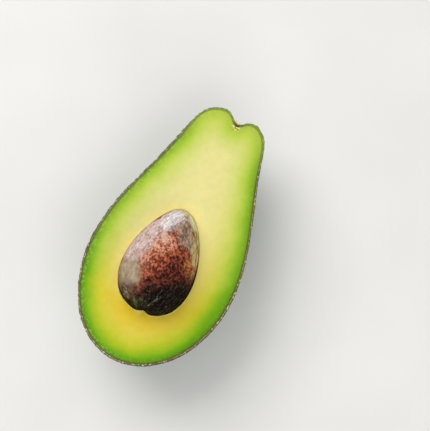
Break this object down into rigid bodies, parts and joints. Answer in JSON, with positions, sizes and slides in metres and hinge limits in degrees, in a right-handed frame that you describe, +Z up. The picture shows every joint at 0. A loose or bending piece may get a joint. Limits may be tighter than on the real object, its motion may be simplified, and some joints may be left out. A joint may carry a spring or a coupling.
{
  "type": "avocado half with seed",
  "caption": "Ripe avocado cut in half lengthwise, lying on its back with the seed standing half out of the level cut face; pebbled peel, soft flesh, stub of the stem.",
  "frame": {"origin": "under the middle of the half, on the surface that it rests on", "axes": "+Y along the fruit towards the stem end, +Z up and square to the cut face, +X to the right seen with the stem end away"},
  "size_m": [0.0634, 0.115, 0.0453],
  "materials": {
    "peel": "satin",
    "flesh": "satin",
    "seed": "satin",
    "stem_stub": "matte"
  },
  "bodies": {
    "root": {"peel": "peel", "flesh": "flesh", "seed": "seed", "stem_stub": "stem_stub"}
  },
  "joints": []
}
